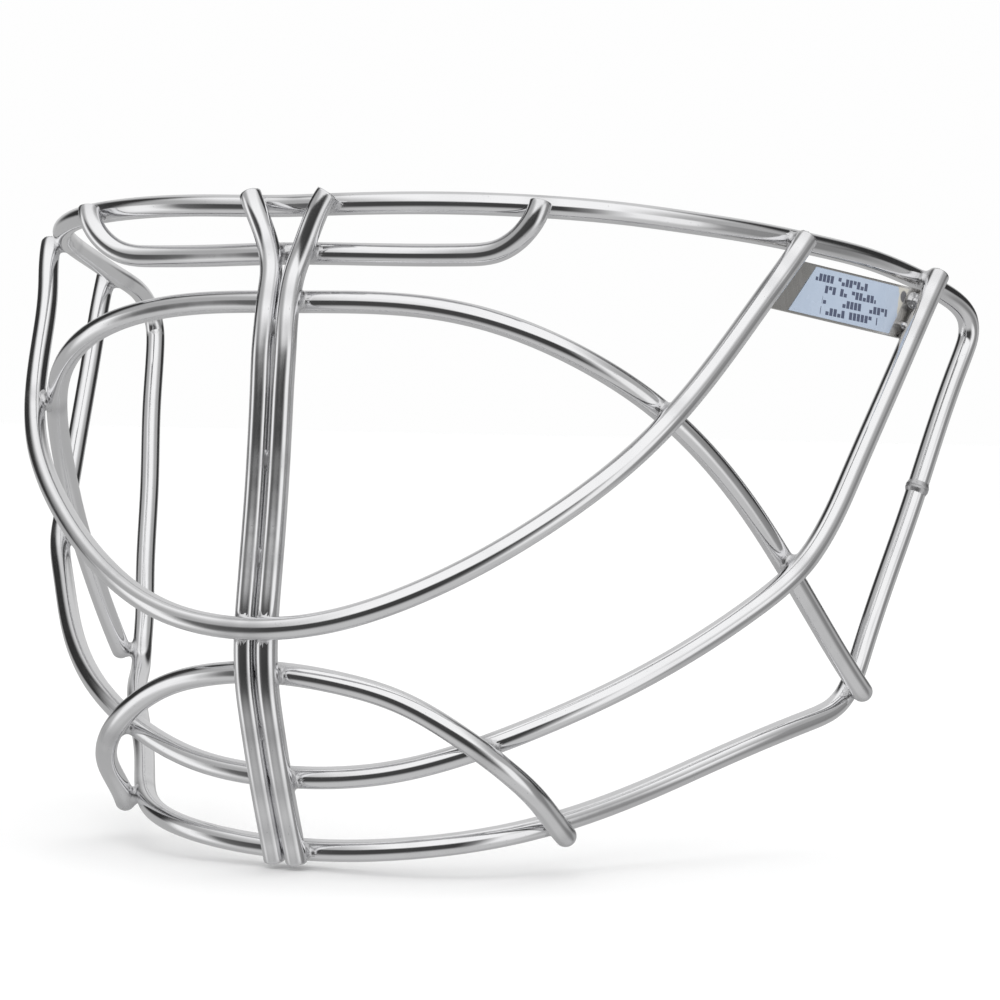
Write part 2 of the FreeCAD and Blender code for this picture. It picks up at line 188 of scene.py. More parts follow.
@dataclass
class WirePath:
    """A wire's centreline, read from the surface of its CAD node."""

    knots: np.ndarray
    closed: bool

    cell = 0.2 * MM
    least_members = 8
    least_gap = 0.8 * MM
    widest_gap = 14 * MM
    lap = 4

    @classmethod
    def of_node(cls, node: str) -> "WirePath":
        """Returns a CAD node's centreline: every point of its skin is one radius off it."""
        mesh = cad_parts[node].data
        normals = np.empty(len(mesh.loops) * 3, np.float32)
        mesh.corner_normals.foreach_get("vector", normals)
        owners = np.empty(len(mesh.loops), np.int32)
        mesh.loops.foreach_get("vertex_index", owners)
        skin = np.empty(len(mesh.vertices) * 3, np.float32)
        mesh.vertices.foreach_get("co", skin)
        owners, corners = np.unique(owners, return_index=True)
        normals = normals.reshape(-1, 3)[corners].astype(float)
        centres = skin.reshape(-1, 3)[owners].astype(float) - WIRE_RADIUS * normals
        return cls.chained(cls.agreed(centres))

    @classmethod
    def agreed(cls, centres: np.ndarray) -> np.ndarray:
        """Returns the centres that enough points of the skin agree on."""
        cells = np.round(centres / cls.cell).astype(np.int64)
        _, group, count = np.unique(cells, axis=0, return_inverse=True, return_counts=True)
        group = group.reshape(-1)
        kept: list[np.ndarray] = []
        for label in np.argsort(-count, kind="stable"):
            if count[label] < cls.least_members:
                break
            middle = centres[group == label].mean(axis=0)
            if not kept or np.linalg.norm(np.array(kept) - middle, axis=1).min() > cls.least_gap:
                kept.append(middle)
        return np.array(kept)

    @classmethod
    def chained(cls, centres: np.ndarray) -> "WirePath":
        """Returns the path that joins scattered centres in order, growing it at both ends."""
        free = np.ones(len(centres), bool)
        chain = [0]
        free[0] = False
        while free.any():
            rest = np.flatnonzero(free)
            ends = [np.linalg.norm(centres[rest] - centres[end], axis=1) for end in (chain[0], chain[-1])]
            side = int(ends[1].min() <= ends[0].min())
            if ends[side].min() > cls.widest_gap:
                break
            nearest = int(rest[ends[side].argmin()])
            free[nearest] = False
            chain.insert(len(chain) if side else 0, nearest)
        knots = centres[chain]
        closed = bool(np.linalg.norm(knots[0] - knots[-1]) < cls.widest_gap)
        return cls(knots, closed)

    def marks(self) -> np.ndarray:
        """Returns the distance along the wire at each knot."""
        steps = np.linalg.norm(np.diff(self.knots, axis=0), axis=1)
        return np.concatenate([[0.0], np.cumsum(steps)])

    def sampled(self, step: float) -> np.ndarray:
        """Returns places a step apart along the whole wire."""
        knots = self.knots
        if self.closed:
            knots = np.concatenate([knots[-self.lap:], knots, knots[:self.lap]])
        marks = WirePath(knots, False).marks()
        if not self.closed:
            stations = np.linspace(0, marks[-1], max(2, round(marks[-1] / step)))
            return smooth_places(knots, marks, stations)
        start, end = marks[self.lap], marks[self.lap + len(self.knots)]
        stations = np.linspace(start, end, max(8, round((end - start) / step)), endpoint=False)
        return smooth_places(knots, marks, stations)


@dataclass
class Stretch:
    """A short stretch of wire near a weld, with the flat cut at its end if it has one."""

    line: np.ndarray
    cuts: list[tuple[np.ndarray, np.ndarray]] = field(default_factory=list)

    def outside(self, points: np.ndarray) -> np.ndarray:
        """Returns how far points lie outside the wire's skin, negative inside it."""
        start, way = self.line[:-1], np.diff(self.line, axis=0)
        away = points[:, None, :] - start[None]
        share = np.clip((away * way).sum(2) / (way * way).sum(1), 0, 1)
        gap = np.linalg.norm(away - share[..., None] * way, axis=2).min(axis=1) - WIRE_RADIUS
        for tip, out in self.cuts:
            gap = np.maximum(gap, (points - tip) @ out)
        return gap


# ---------------------------------------------------------------- shared shader groups


class GroupName(Enum):
    """The shader groups that more than one finish uses."""

    PLATING = "Plating marks"
    HANDLING = "Handling haze"


def new_group(name: GroupName, takes: tuple[tuple[str, str, float], ...],
              gives: tuple[str, ...]) -> tuple[NodeSheet, bpy.types.Node, bpy.types.Node]:
    """Starts a shader group, and returns its sheet, input node and output node.

    Args:
        name: The group's name.
        takes: Name, socket type and first value of each input.
        gives: Name of each output.
    """
    tree = bpy.data.node_groups.new(name.value, "ShaderNodeTree")
    for label, kind, value in takes:
        socket = tree.interface.new_socket(label, in_out="INPUT", socket_type=kind)
        if kind == "NodeSocketFloat":
            socket.default_value = value
    for label in gives:
        tree.interface.new_socket(label, in_out="OUTPUT", socket_type="NodeSocketFloat")
    sheet = NodeSheet(tree)
    return sheet, sheet.add("NodeGroupInput"), sheet.add("NodeGroupOutput")


def build_plating_group() -> None:
    """Builds the group for plated steel: slow waves, drawing lines along the wire and pits."""
    sheet, given, made = new_group(
        GroupName.PLATING,
        (("Vector", "NodeSocketVector", 0), ("Wave Scale", "NodeSocketFloat", 160.0),
         ("Line Scale", "NodeSocketFloat", 2600.0), ("Pit Scale", "NodeSocketFloat", 1500.0)),
        ("Height", "Haze", "Pits"))
    where = given.outputs["Vector"]
    waves = sheet.noise(where, given.outputs["Wave Scale"], 2.0, Roughness=0.45)
    drawn = sheet.add("ShaderNodeMapping", {"Vector": where, "Scale": (1.0, 1.0, 0.025)})
    lines = sheet.noise(drawn.outputs[0], given.outputs["Line Scale"], 3.0, Roughness=0.6)
    cells = sheet.add("ShaderNodeTexVoronoi", {"Vector": where, "Scale": given.outputs["Pit Scale"],
                                               "Randomness": 1.0})
    near_pit = sheet.minus(1.0, sheet.fade(cells.outputs[0], 0.06, 0.22))
    pits = sheet.times(near_pit, sheet.fade(sheet.noise(where, 420.0, 1.0), 0.58, 0.70))
    height = sheet.plus(waves, sheet.times(lines, 0.06))
    height = sheet.minus(height, sheet.times(pits, 0.25))
    haze = sheet.plus(sheet.times(sheet.fade(lines, 0.45, 0.75), 0.5),
                      sheet.times(sheet.fade(waves, 0.40, 0.75), 0.5))
    sheet.feed(made, {"Height": height, "Haze": haze, "Pits": pits})


def build_handling_group() -> None:
    """Builds the group for fingerprints and dry water marks, as one cloudy mask."""
    sheet, given, made = new_group(
        GroupName.HANDLING, (("Vector", "NodeSocketVector", 0), ("Scale", "NodeSocketFloat", 45.0)),
        ("Mask",))
    where = given.outputs["Vector"]
    broad = sheet.noise(where, given.outputs["Scale"], 5.0, Roughness=0.62, Distortion=0.6)
    fine = sheet.noise(where, 900.0, 2.0)
    mask = sheet.times(sheet.fade(broad, 0.50, 0.72), sheet.plus(0.55, sheet.times(fine, 0.6)),
                       clamp=True)
    sheet.feed(made, {"Mask": mask})


# ---------------------------------------------------------------- finishes


def new_finish(name: str) -> tuple[bpy.types.Material, NodeSheet, bpy.types.Node]:
    """Returns a new material, the sheet of its nodes and its shader."""
    made = bpy.data.materials.new(name)
    made.use_nodes = True
    return made, NodeSheet(made.node_tree), made.node_tree.nodes["Principled BSDF"]


@dataclass(frozen=True)
class MetalFinish:
    """A plated steel surface."""

    name: str
    bright: Colour
    dull: Colour
    roughness: float
    haze: float
    bump_mm: float
    guide: str = ""
    wave_scale: float = 160.0
    line_scale: float = 2600.0
    brushed: bool = False
    dim_from_pits: float = 0.6
    dim_from_heat: float = 0.45
    dim_from_hands: float = 0.10
    rough_from_hands: float = 0.05
    rough_from_heat: float = 0.16

    def material(self) -> bpy.types.Material:
        """Returns the finish as a Blender material."""
        made, sheet, shader = new_finish(self.name)
        place = sheet.add("ShaderNodeTexCoord").outputs["Object"]
        where = place
        if self.guide:
            where = sheet.add("ShaderNodeAttribute", attribute_name=self.guide).outputs["Vector"]
        if self.brushed:
            where = sheet.add("ShaderNodeMapping", {"Vector": where,
                                                    "Scale": (1.0, 0.04, 1.0)}).outputs[0]
        groups = bpy.data.node_groups
        plating = sheet.add("ShaderNodeGroup", {"Vector": where, "Wave Scale": self.wave_scale,
                                                "Line Scale": self.line_scale},
                            node_tree=groups[GroupName.PLATING.value])
        touched = sheet.add("ShaderNodeGroup", {"Vector": place},
                            node_tree=groups[GroupName.HANDLING.value]).outputs["Mask"]
        heat = sheet.add("ShaderNodeAttribute", attribute_name="weld_heat").outputs["Fac"]
        dim = sheet.plus(sheet.times(plating.outputs["Pits"], self.dim_from_pits),
                         sheet.times(heat, self.dim_from_heat), clamp=True)
        dim = sheet.plus(dim, sheet.times(touched, self.dim_from_hands), clamp=True)
        colour = sheet.mixed(dim, rgba(self.bright), rgba(self.dull))
        rough = sheet.plus(self.roughness, sheet.times(plating.outputs["Haze"], self.haze))
        rough = sheet.plus(rough, sheet.times(touched, self.rough_from_hands))
        rough = sheet.plus(rough, sheet.times(heat, self.rough_from_heat))
        bump = sheet.add("ShaderNodeBump", {"Height": plating.outputs["Height"], "Strength": 1.0,
                                            "Distance": self.bump_mm * MM})
        sheet.feed(shader, {"Base Color": colour, "Metallic": 1.0, "Roughness": rough,
                            "Normal": bump.outputs[0]})
        return made


@dataclass(frozen=True)
class FilmFinish:
    """A glossy printed film with rows of random small blocks, a paper margin and the painted shade of a
    hole on the margin.

    The film's UV map runs 0 to 1 along its length and 0 to 1 up its height.
    """

    name: str
    ground: Colour
    ink: Colour
    margin: Colour
    faded: Colour = (0.60, 0.66, 0.76)
    # The near-black colour painted in the hole on the margin: painted shade.
    dark: Colour = (0.08, 0.08, 0.09)
    rows: int = 4
    cells: float = 30.0
    foot: float = 0.08
    rows_height: float = 0.84
    print_start: float = 0.10
    print_end: float = 0.88
    row_half: tuple[float, float] = (0.34, 0.38)
    block_width: float = 0.80
    blank_blocks: float = 0.16
    blank_cells: float = 0.13
    ink_cover: float = 0.9
    margin_start: tuple[float, float] = (0.925, 0.935)
    margin_rag: float = 0.05
    fading: float = 0.35
    gloss: float = 0.16
    smears: float = 0.22
    ink_relief: float = 0.15
    coat: tuple[float, float] = (0.5, 0.08)
    dot: tuple[float, float] = (0.955, 0.80)
    dot_radius: tuple[float, float] = (0.10, 0.14)
    length_in_heights: float = 4.2

    def material(self) -> bpy.types.Material:
        """Returns the finish as a Blender material."""
        made, sheet, shader = new_finish(self.name)
        split = sheet.add("ShaderNodeSeparateXYZ",
                          {0: sheet.add("ShaderNodeUVMap", uv_map="film").outputs[0]})
        along, up = split.outputs[0], split.outputs[1]
        marks = self.printed(sheet, along, up)
        place = sheet.add("ShaderNodeTexCoord").outputs["Object"]
        blotch = sheet.noise(place, 260.0, 3.0)
        ground = sheet.mixed(sheet.times(blotch, self.fading), rgba(self.ground), rgba(self.faded))
        ragged = sheet.times(sheet.noise(place, 520.0, 2.0), self.margin_rag)
        paper = sheet.fade(sheet.plus(along, ragged), *self.margin_start)
        colour = sheet.mixed(marks, ground, rgba(self.ink))
        colour = sheet.mixed(paper, colour, rgba(self.margin))
        # A dark disc round the dot on the margin stands in for the shade of a hole there: painted shade.
        painted_hole_shade = sheet.minus(1.0, sheet.fade(self.from_dot(sheet, along, up), *self.dot_radius))
        colour = sheet.mixed(painted_hole_shade, colour, rgba(self.dark))
        rough = sheet.plus(self.gloss, sheet.times(sheet.noise(place, 90.0, 4.0), self.smears))
        relief = sheet.times(marks, self.ink_relief)
        rough = sheet.plus(rough, relief)
        bump = sheet.add("ShaderNodeBump", {"Height": sheet.plus(blotch, relief),
                                            "Strength": 0.5, "Distance": 0.06 * MM})
        sheet.feed(shader, {"Base Color": colour, "Roughness": rough, "Coat Weight": self.coat[0],
                            "Coat Roughness": self.coat[1], "Normal": bump.outputs[0]})
        return made

    def from_dot(self, sheet: NodeSheet, along: Socket, up: Socket) -> Socket:
        """Returns the distance from the dot on the margin, where the shade of a hole is painted, in film
        heights.
        """
        side = sheet.times(sheet.minus(along, self.dot[0]), self.length_in_heights)
        rise = sheet.minus(up, self.dot[1])
        return sheet.math("SQRT", sheet.plus(sheet.times(side, side), sheet.times(rise, rise)))

    def printed(self, sheet: NodeSheet, along: Socket, up: Socket) -> Socket:
        """Returns the ink of the rows, 0 to 1: plain blocks in cells at random, with blanks between."""
        spread = sheet.times(sheet.minus(up, self.foot), self.rows / self.rows_height)
        row = sheet.math("FLOOR", spread)
        level = sheet.math("FRACT", spread)
        within = sheet.math("ABSOLUTE", sheet.minus(level, 0.5))
        band = sheet.minus(1.0, sheet.fade(within, *self.row_half))
        cell = sheet.times(along, self.cells)
        column = sheet.math("FLOOR", cell)
        storey = sheet.math("FLOOR", sheet.times(level, 2.0))
        block = self.chance(sheet, column, sheet.math("MULTIPLY_ADD", row, 7.0, storey), 2.9)
        first = sheet.math("MULTIPLY_ADD", self.chance(sheet, row, 1.3, 0.0), 0.16, self.print_start)
        last = sheet.minus(self.print_end, sheet.times(self.chance(sheet, row, 5.1, 0.4), 0.24))
        mask = sheet.times(band, sheet.math("GREATER_THAN", block, self.blank_blocks))
        for part in (sheet.math("LESS_THAN", sheet.math("FRACT", cell), self.block_width),
                     sheet.math("GREATER_THAN", self.chance(sheet, column, row, 3.7), self.blank_cells),
                     sheet.math("GREATER_THAN", along, first), sheet.math("LESS_THAN", along, last),
                     sheet.math("GREATER_THAN", spread, 0.0),
                     sheet.math("LESS_THAN", spread, float(self.rows))):
            mask = sheet.times(mask, part)
        return sheet.times(mask, self.ink_cover)

    @staticmethod
    def chance(sheet: NodeSheet, *keys: object) -> Socket:
        """Returns a random value that depends only on its three keys."""
        key = sheet.add("ShaderNodeCombineXYZ", dict(enumerate(keys)))
        noise = sheet.add("ShaderNodeTexWhiteNoise", {0: key.outputs[0]}, noise_dimensions="3D")
        return noise.outputs[0]


# ---------------------------------------------------------------- pieces


class EndStyle(Enum):
    """How a bent wire ends."""

    RING = "closed on itself"
    GROUND = "cut across and ground"
    DOMED = "rounded over"

    def profile(self) -> tuple[tuple[float, float], ...]:
        """Returns how far past the last ring each point lies and its thickness, both in radii."""
        if self is EndStyle.DOMED:
            rings = 8
            turns = [math.radians(90 * ring / rings) for ring in range(1, rings)]
            return tuple((math.sin(turn), math.cos(turn)) for turn in turns) + ((1.0, 0.0),)
        if self is EndStyle.GROUND:
            return ((-0.20, 1.0), (-0.10, 0.985), (-0.035, 0.945), (-0.008, 0.89), (0.0, 0.80),
                    (0.004, 0.0))
        return ()


def place_piece(piece: bpy.types.Object, slot: str, *nodes: str) -> None:
    """Puts a finished piece on the cage in place of its CAD nodes."""
    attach(piece, BODY)
    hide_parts(*nodes)
    LOG.info("%s: %d faces, stands for %s", piece.name, len(piece.data.polygons), ", ".join(nodes))


def new_object(name: str, data: bpy.types.ID) -> bpy.types.Object:
    """Returns a new object in the scene, made from a mesh, a camera or a light."""
    made = bpy.data.objects.new(name, data)
    bpy.context.scene.collection.objects.link(made)
    return made


def finished_mesh(name: str, shell: bmesh.types.BMesh, surface: bpy.types.Material) -> bpy.types.Mesh:
    """Returns a smooth-shaded mesh made from a shell, which it frees."""
    mesh = bpy.data.meshes.new(name)
    shell.to_mesh(mesh)
    shell.free()
    mesh.shade_smooth()
    mesh.materials.append(surface)
    return mesh


def face_outwards(mesh: bpy.types.Mesh) -> None:
    """Turns a closed mesh's faces outwards and shades them smooth."""
    shell = bmesh.new()
    shell.from_mesh(mesh)
    bmesh.ops.recalc_face_normals(shell, faces=shell.faces)
    shell.to_mesh(mesh)
    shell.free()
    mesh.shade_smooth()


@dataclass
class WireSweep:
    """The Geometry Nodes tree that draws a round wire along a path."""

    tree: bpy.types.NodeTree = field(init=False)
    sockets: dict[str, str] = field(init=False)

    pole_size = 0.002 * MM
    sides = 28

    def __post_init__(self) -> None:
        """Builds the tree."""
        self.tree = bpy.data.node_groups.new("Wire along a path", "GeometryNodeTree")
        self.sockets = {}
        for label, kind in (("Path", "NodeSocketGeometry"), ("Wire Radius", "NodeSocketFloat"),
                            ("Sides", "NodeSocketInt"), ("Surface", "NodeSocketMaterial")):
            socket = self.tree.interface.new_socket(label, in_out="INPUT", socket_type=kind)
            self.sockets[label] = socket.identifier
        self.tree.interface.new_socket("Wire", in_out="OUTPUT", socket_type="NodeSocketGeometry")
        sheet = NodeSheet(self.tree)
        given = sheet.add("NodeGroupInput")
        made = sheet.add("NodeGroupOutput")
        curve = sheet.add("GeometryNodeMeshToCurve", {"Mesh": given.outputs["Path"]})
        length = sheet.add("GeometryNodeSplineParameter").outputs["Length"]
        curve = self.stored(sheet, curve.outputs[0], "wire_along", "FLOAT", length)
        round_bar = sheet.add("GeometryNodeCurvePrimitiveCircle",
                              {"Resolution": given.outputs["Sides"],
                               "Radius": given.outputs["Wire Radius"]})
        spot = sheet.add("GeometryNodeInputPosition").outputs[0]
        profile = self.stored(sheet, round_bar.outputs[0], "wire_ring", "FLOAT_VECTOR", spot)
        thickness = sheet.add("GeometryNodeInputNamedAttribute", {"Name": "thickness"}).outputs[0]
        sweep = sheet.add("GeometryNodeCurveToMesh", {"Curve": curve, "Profile Curve": profile,
                                                      "Scale": thickness})
        poles = sheet.add("GeometryNodeMergeByDistance",
                          {"Geometry": sweep.outputs[0], "Distance": self.pole_size})
        ring = sheet.add("ShaderNodeSeparateXYZ", {0: self.named(sheet, "wire_ring", "FLOAT_VECTOR")})
        frame = sheet.add("ShaderNodeCombineXYZ", {0: ring.outputs[0], 1: ring.outputs[1],
                                                   2: self.named(sheet, "wire_along", "FLOAT")})
        guided = self.stored(sheet, poles.outputs[0], "wire_frame", "FLOAT_VECTOR", frame.outputs[0])
        smooth = sheet.add("GeometryNodeSetShadeSmooth", {"Geometry": guided, "Shade Smooth": True})
        real = sheet.add("GeometryNodeRealizeInstances", {"Geometry": smooth.outputs[0]})
        dressed = sheet.add("GeometryNodeSetMaterial", {"Geometry": real.outputs[0],
                                                        "Material": given.outputs["Surface"]})
        sheet.feed(made, {0: dressed.outputs[0]})

    @staticmethod
    def named(sheet: NodeSheet, name: str, kind: str) -> Socket:
        """Returns a named attribute's socket."""
        node = sheet.add("GeometryNodeInputNamedAttribute", {"Name": name}, data_type=kind)
        return next(socket for socket in node.outputs if socket.enabled)

    @staticmethod
    def stored(sheet: NodeSheet, geometry: Socket, name: str, kind: str,
               value: Socket) -> Socket:
        """Returns the geometry with a value stored under a name on its points."""
        node = sheet.add("GeometryNodeStoreNamedAttribute", {"Geometry": geometry, "Name": name},
                         data_type=kind, domain="POINT")
        target = next(socket for socket in node.inputs if socket.enabled and socket.name == "Value")
        sheet.tree.links.new(value, target)
        return node.outputs[0]

    def draw(self, name: str, places: np.ndarray, thickness: np.ndarray, heat: np.ndarray,
             closed: bool, surface: bpy.types.Material) -> bpy.types.Object:
        """Draws one wire as a plain mesh.

        Args:
            name: The piece's name.
            places: Centreline points.
            thickness: Share of the radius at each point.
            heat: How close each point is to a weld, 0 to 1.
            closed: Whether the wire joins itself.
            surface: Its material.

        Returns:
            The finished object.
        """
        count = len(places)
        line = bpy.data.meshes.new(name + "_line")
        edges = [(number, number + 1) for number in range(count - 1)]
        line.from_pydata(places.tolist(), edges + ([(count - 1, 0)] if closed else []), [])
        for label, values in (("thickness", thickness), ("weld_heat", heat)):
            line.attributes.new(label, "FLOAT", "POINT").data.foreach_set("value", values)
        guide = new_object(name + "_guide", line)
        modifier = guide.modifiers.new("Wire", "NODES")
        modifier.node_group = self.tree
        modifier[self.sockets["Wire Radius"]] = WIRE_RADIUS
        modifier[self.sockets["Sides"]] = self.sides
        modifier[self.sockets["Surface"]] = surface
        bpy.context.view_layer.update()
        graph = bpy.context.evaluated_depsgraph_get()
        mesh = bpy.data.meshes.new_from_object(guide.evaluated_get(graph), depsgraph=graph)
        bpy.data.objects.remove(guide)
        bpy.data.meshes.remove(line)
        mesh.name = name
        face_outwards(mesh)
        return new_object(name, mesh)


@dataclass
class BentWire:
    """One bent wire of the cage."""

    name: str
    node: str
    ends: EndStyle
    path: WirePath = field(init=False)
    fine: np.ndarray = field(init=False)

    step = 1.1 * MM
    heat_reach = 3.6 * MM
    heat_edge = 1.5
    most_heat = 0.8

    def __post_init__(self) -> None:
        """Reads the centreline."""
        self.path = WirePath.of_node(self.node)
        self.fine = self.path.sampled(self.step)
        LOG.info("%s: %d knots, %.0f mm long, closed %s", self.name, len(self.path.knots),
                 self.length() / MM, self.path.closed)

    def length(self) -> float:
        """Returns the wire's length."""
        return float(WirePath(self.line(), self.path.closed).marks()[-1])

    def line(self) -> np.ndarray:
        """Returns the centreline as points, the first repeated at the end of a closed wire."""
        return np.concatenate([self.fine, self.fine[:1]]) if self.path.closed else self.fine

    def nearest(self, middle: np.ndarray) -> tuple[float, np.ndarray]:
        """Returns the distance from a place to the centreline, and the centreline's nearest place."""
        line = self.line()
        start, way = line[:-1], np.diff(line, axis=0)
        share = np.clip(((middle - start) * way).sum(1) / (way * way).sum(1), 0, 1)
        places = start + share[:, None] * way
        gaps = np.linalg.norm(places - middle, axis=1)
        return float(gaps.min()), places[gaps.argmin()]

    def stretch(self, middle: np.ndarray, window: float) -> Stretch:
        """Returns the stretch of the wire that lies within a window round a place."""
        line = self.line()
        close = np.flatnonzero(np.linalg.norm(line - middle, axis=1) < window)
        runs = np.split(close, np.flatnonzero(np.diff(close) > 1) + 1)
        best = min(runs, key=lambda run: np.linalg.norm(line[run] - middle, axis=1).min())
        cuts = []
        if self.ends is EndStyle.GROUND:
            for tip, inner in ((0, 1), (len(line) - 1, len(line) - 2)):
                if tip in best:
                    out = line[tip] - line[inner]
                    cuts.append((line[tip], out / np.linalg.norm(out)))
        return Stretch(line[best], cuts)

    def with_ends(self) -> tuple[np.ndarray, np.ndarray]:
        """Returns the centreline and its thickness, with the points that shape the two ends."""
        places = self.fine
        thickness = np.ones(len(places))
        shape = self.ends.profile()
        if not shape:
            return places, thickness
        sizes = np.array([share for _, share in shape])
        for _ in range(2):
            places, thickness = places[::-1], thickness[::-1]
            out = places[-1] - places[-2]
            out = out / np.linalg.norm(out)
            extra = np.array([places[-1] + out * reach * WIRE_RADIUS for reach, _ in shape])
            places = np.concatenate([places[:-1], extra])
            thickness = np.concatenate([thickness[:-1], sizes])
        return places, thickness

    def build(self, sweep: WireSweep, welds: np.ndarray, surface: bpy.types.Material) -> None:
        """Draws the wire, dulled by heat near the middles of the welds, and puts it on the cage."""
        places, thickness = self.with_ends()
        gaps = np.linalg.norm(places[:, None] - welds[None], axis=2).min(axis=1)
        heat = np.clip(self.heat_edge - gaps / self.heat_reach, 0, 1) ** 2 * self.most_heat
        piece = sweep.draw(self.name, places, thickness, heat, self.path.closed, surface)
        place_piece(piece, "plated_wire", self.node)


def islands(node: str) -> list[np.ndarray]:
    """Returns the points of each separate solid of a CAD node."""
    copy = bmesh.new()
    copy.from_mesh(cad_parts[node].data)
    bmesh.ops.remove_doubles(copy, verts=copy.verts, dist=SAME_PLACE)
    groups = []
    left = set(copy.verts)
    while left:
        seed = min(left, key=lambda vertex: vertex.index)
        group, edge = {seed}, [seed]
        while edge:
            near = {link.other_vert(vertex) for vertex in edge for link in vertex.link_edges}
            edge = list(near - group)
            group |= near
        left -= group
        groups.append(np.array([tuple(vertex.co) for vertex in group]))
    copy.free()
    return groups


def blended(one: np.ndarray, two: np.ndarray, blend: float | np.ndarray) -> tuple[np.ndarray, np.ndarray]:
    """Joins two skins with a fillet between them.

    Args:
        one: Distance of each point outside the first skin.
        two: Distance of each point outside the second skin.
        blend: Width of the fillet, one value or one to a point.

    Returns:
        Distance outside the joined skin, and how far each point is in the fillet, 0 to 1.
    """
    share = np.maximum(blend - np.abs(one - two), 0) / blend
    return np.minimum(one, two) - share * share * blend / 4, share


@dataclass
class WeldGroup:
    """The weld metal of one node: a small smooth fillet at each crossing."""

    name: str
    node: str
    reach: float = 4.4 * MM
    blend: float = 2.6 * MM
    spots: list[np.ndarray] = field(default_factory=list)

    skin_depth = 0.03 * MM
    least_blend = 1e-7
    ripple = 0.03 * MM
    full_blend_share = 0.45
    margin = 4 * MM
    rounds = 5
    strides = 26
    halvings = 9
    centrings = 4

    def find_spots(self, wires: list[BentWire]) -> None:
        """Finds the middle of each weld, halfway between the two nearest wires."""
        for group in islands(self.node):
            middle = (group.min(axis=0) + group.max(axis=0)) / 2
            for _ in range(self.centrings):
                near = sorted((wire.nearest(middle) for wire in wires), key=lambda pair: pair[0])
                middle = (near[0][1] + near[1][1]) / 2
            self.spots.append(middle)

    def neighbours(self, middle: np.ndarray, wires: list[BentWire]) -> list[Stretch]:
        """Returns the stretches of the two nearest wires that pass the weld."""
        ranked = sorted(wires, key=lambda wire: wire.nearest(middle)[0])[:2]
        return [wire.stretch(middle, self.reach + self.margin) for wire in ranked]

    def depth(self, points: np.ndarray, middle: np.ndarray, wires: list[Stretch]) -> np.ndarray:
        """Returns how far points lie outside the weld round a middle, negative inside it."""
        one, two = (wire.outside(points) for wire in wires)
        away = np.linalg.norm(points - middle, axis=1) / self.reach
        fall = np.clip((away - self.full_blend_share) / (1 - self.full_blend_share), 0, 1)
        blend = np.maximum(self.blend * (1 - fall * fall * (3 - 2 * fall)), self.least_blend)
        joined, share = blended(one, two, blend)
        phase = (points - middle) / MM
        lumps = (np.sin(phase[:, 0] * 1.3 + middle[0] * 900) * np.sin(phase[:, 1] * 1.1 + 0.6)
                 * np.sin(phase[:, 2] * 1.2 + middle[2] * 700))
        for wire in wires:
            for tip, out in wire.cuts:
                joined = np.maximum(joined, (points - tip) @ out)
        return joined + self.skin_depth + lumps * self.ripple * share

    def fillet(self, shell: bmesh.types.BMesh, middle: np.ndarray, wires: list[BentWire]) -> None:
        """Adds one fillet to a mesh: a ball drawn in to the weld's skin along each ray."""
        stretches = self.neighbours(middle, wires)
        ball = bmesh.ops.create_icosphere(shell, subdivisions=self.rounds, radius=1.0)["verts"]
        rays = np.array([tuple(vertex.co) for vertex in ball])
        stops = np.linspace(0, self.reach, self.strides + 1)[1:]
        inner = np.zeros(len(rays))
        outer = np.full(len(rays), self.reach)
        live = np.ones(len(rays), bool)
        for stop in stops:
            outside = self.depth(middle + rays * stop, middle, stretches) > 0
            outer[live & outside] = stop
            live &= ~outside
            inner[live] = stop
        for _ in range(self.halvings):
            halfway = (inner + outer) / 2
            outside = self.depth(middle + rays * halfway[:, None], middle, stretches) > 0
            outer = np.where(outside, halfway, outer)
            inner = np.where(outside, inner, halfway)
        for vertex, place in zip(ball, middle + rays * inner[:, None]):
            vertex.co = place

    def build(self, wires: list[BentWire], surface: bpy.types.Material) -> None:
        """Draws the fillets and puts them on the cage."""
        shell = bmesh.new()
        for middle in self.spots:
            self.fillet(shell, middle, wires)
        mesh = finished_mesh(self.name, shell, surface)
        place_piece(new_object(self.name, mesh), "weld_metal", self.node)


@dataclass
class ButtWeld:
    """The raised ring where the ends of the frame wire are joined."""

    name: str
    node: str
    half_length: float = 1.7 * MM
    rise: float = 0.40 * MM

    sunk_radius = 0.985
    groove_depth = 0.22
    groove_width = 0.16
    stations = 25
    heat = 0.55

    def build(self, sweep: WireSweep, frame_wire: BentWire, surface: bpy.types.Material) -> None:
        """Draws the ring along the frame wire and puts it on the cage."""
        low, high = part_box(self.node)
        middle = np.array((low + high) / 2)
        line = frame_wire.line()
        marks = WirePath(line, False).marks()
        nearest = int(np.linalg.norm(line - middle, axis=1).argmin())
        offsets = np.linspace(-1, 1, self.stations)
        places = smooth_places(line, marks, marks[nearest] + offsets * self.half_length)
        hump = np.cos(offsets * math.pi / 2) ** 2
        hump = hump - self.groove_depth * np.exp(-(offsets / self.groove_width) ** 2) * hump
        thickness = self.sunk_radius + (self.rise / WIRE_RADIUS + 1 - self.sunk_radius) * hump
        thickness[0] = thickness[-1] = 0.0
        heat = np.full(self.stations, self.heat)
        piece = sweep.draw(self.name, places, thickness, heat, False, surface)
        place_piece(piece, "weld_metal", self.node)


